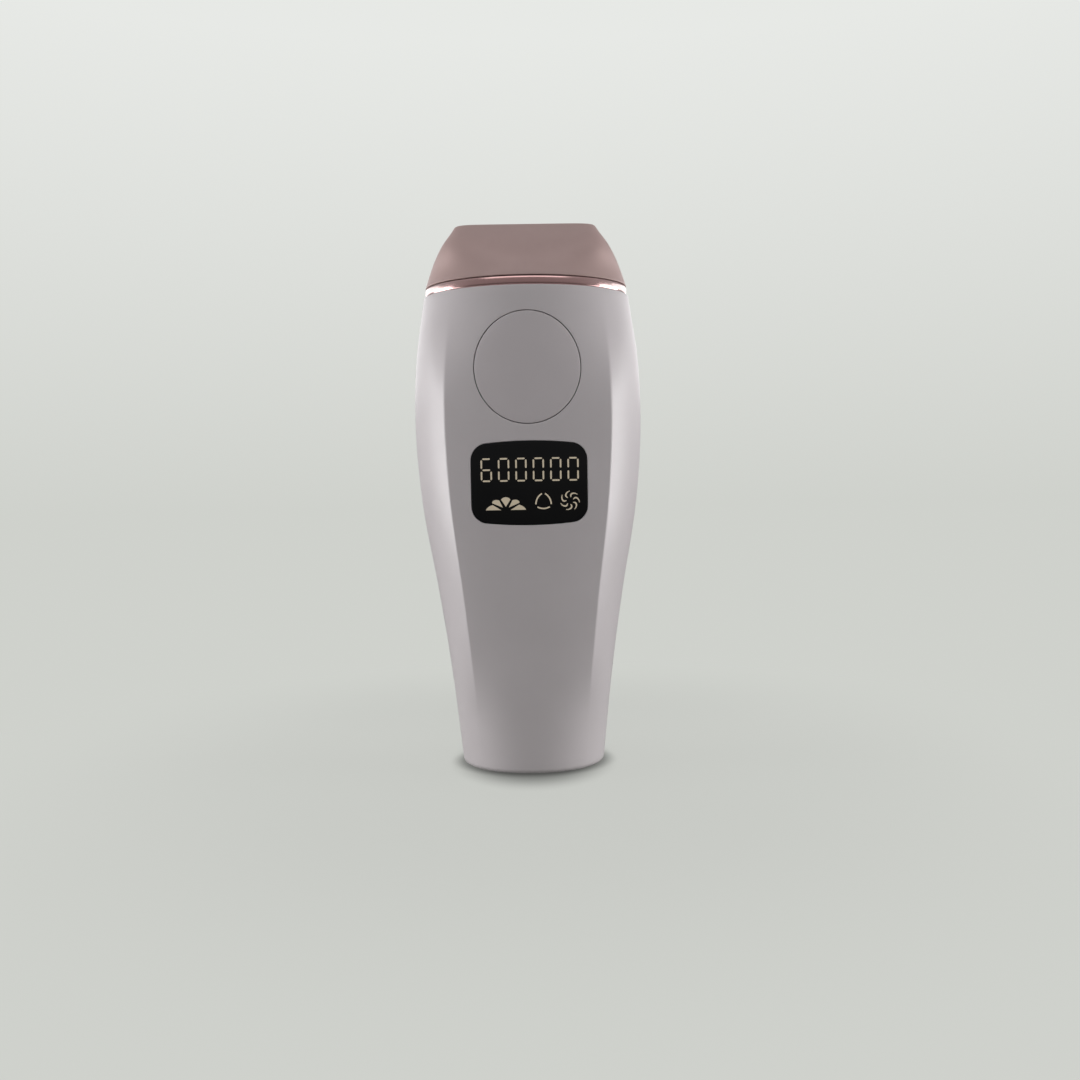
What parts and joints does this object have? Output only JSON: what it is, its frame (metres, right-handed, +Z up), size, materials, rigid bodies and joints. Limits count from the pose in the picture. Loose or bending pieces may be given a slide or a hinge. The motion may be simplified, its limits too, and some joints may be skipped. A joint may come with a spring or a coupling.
{
  "type": "ipl hair remover",
  "caption": "Upright handset for light-based hair removal: tapered body with an oval front button and a small display, trim ring, and a head with the flash window on top.",
  "frame": {"origin": "centre of the flat base, on the plane it stands on", "axes": "+Z up towards the flash window, -Y the front with button and display, +X to the right seen from the front"},
  "size_m": [0.076, 0.0504, 0.178],
  "materials": {
    "shell_pearl": "pearl satin",
    "button_pearl": "pearl satin",
    "rose_satin": "satin rose metallic paint",
    "rose_chrome": "rose gold plating",
    "display_black": "polished",
    "display_marks": "lit cream",
    "module_white": "moulded",
    "board_green": "solder mask",
    "chip_black": "moulded",
    "switch_dark": "moulded",
    "plunger_white": "moulded",
    "screw_steel": "zinc plated",
    "capacitor_sleeve": "shrink sleeve",
    "winding_tape": "wound tape",
    "coil_copper": "enamelled wire",
    "heat_sink_aluminium": "extruded",
    "component_blue": "epoxy coat",
    "jack_black": "moulded",
    "contact_gold": "gold plated",
    "pin_nickel": "nickel plated",
    "wire_red": "cable jacket",
    "fan_black": "moulded",
    "bearing_bronze": "sintered",
    "filter_foam": "open mesh",
    "deck_grey": "moulded",
    "frame_dark": "satin",
    "gasket_grey": "silicone",
    "window_glass": "filter coated",
    "lamp_quartz": "clear quartz",
    "reflector_mirror": "polished aluminium",
    "holder_ceramic": "glazed",
    "sensor_metal": "polished"
  },
  "bodies": {
    "handset": {"front_shell": "shell_pearl", "rear_shell": "shell_pearl", "trim_ring": "rose_chrome", "socket_deck": "deck_grey", "head_socket": "switch_dark", "socket_contacts": "contact_gold", "display_window": "display_black", "display_segments": "display_marks", "display_module": "module_white", "control_board": "board_green", "control_chips": "chip_black", "front_switch": "switch_dark", "rear_switch": "switch_dark", "rear_switch_board": "board_green", "power_board": "board_green", "storage_capacitor": "capacitor_sleeve", "flyback_transformer": "winding_tape", "trigger_coil": "coil_copper", "power_transistor": "chip_black", "heat_sink": "heat_sink_aluminium", "board_components": "component_blue", "dc_jack": "jack_black", "jack_pin": "pin_nickel", "wire_harness": "wire_red", "fan_frame": "fan_black", "fan_bearing": "bearing_bronze", "fan_stator": "coil_copper", "air_filter": "filter_foam", "shell_screws": "screw_steel", "board_screws": "screw_steel", "fan_screws": "screw_steel"},
    "front_button": {"front_button": "button_pearl"},
    "front_plunger": {"front_switch_plunger": "plunger_white"},
    "rear_trigger": {"rear_trigger": "rose_satin"},
    "rear_plunger": {"rear_switch_plunger": "plunger_white"},
    "fan_rotor": {"fan_rotor": "fan_black"},
    "head": {"head_shell": "rose_satin", "window_frame": "frame_dark", "window_gasket": "gasket_grey", "window_glass": "window_glass", "reflector": "reflector_mirror", "flash_lamp": "lamp_quartz", "lamp_holders": "holder_ceramic", "cartridge_base": "deck_grey", "contact_pins": "contact_gold", "skin_sensors": "sensor_metal", "head_screws": "screw_steel"}
  },
  "joints": [
    {"name": "front_button_press", "type": "slide", "parent": "handset", "child": "front_button", "axis": [0, 1, 0], "range_m": [0, 0.0006], "stiffness_N_per_m": 2500, "springref_m": -0.0002},
    {"name": "front_plunger_press", "type": "slide", "parent": "handset", "child": "front_plunger", "axis": [0, 1, 0], "range_m": [0, 0.0006]},
    {"name": "rear_trigger_press", "type": "slide", "parent": "handset", "child": "rear_trigger", "axis": [0, -1, 0], "range_m": [0, 0.0006], "stiffness_N_per_m": 2500, "springref_m": -0.0002},
    {"name": "rear_plunger_press", "type": "slide", "parent": "handset", "child": "rear_plunger", "axis": [0, -1, 0], "range_m": [0, 0.0006]},
    {"name": "fan_spin", "type": "hinge", "parent": "handset", "child": "fan_rotor", "pos_m": [0, 0.012, 0.137], "axis": [0, 1, 0], "continuous": true},
    {"name": "head_lift", "type": "slide", "parent": "handset", "child": "head", "axis": [0, 0, 1], "range_m": [0, 0.04]}
  ],
  "couplings": [
    {"joint": "front_plunger_press", "follows": "front_button_press", "ratio": 1},
    {"joint": "rear_plunger_press", "follows": "rear_trigger_press", "ratio": 1}
  ]
}
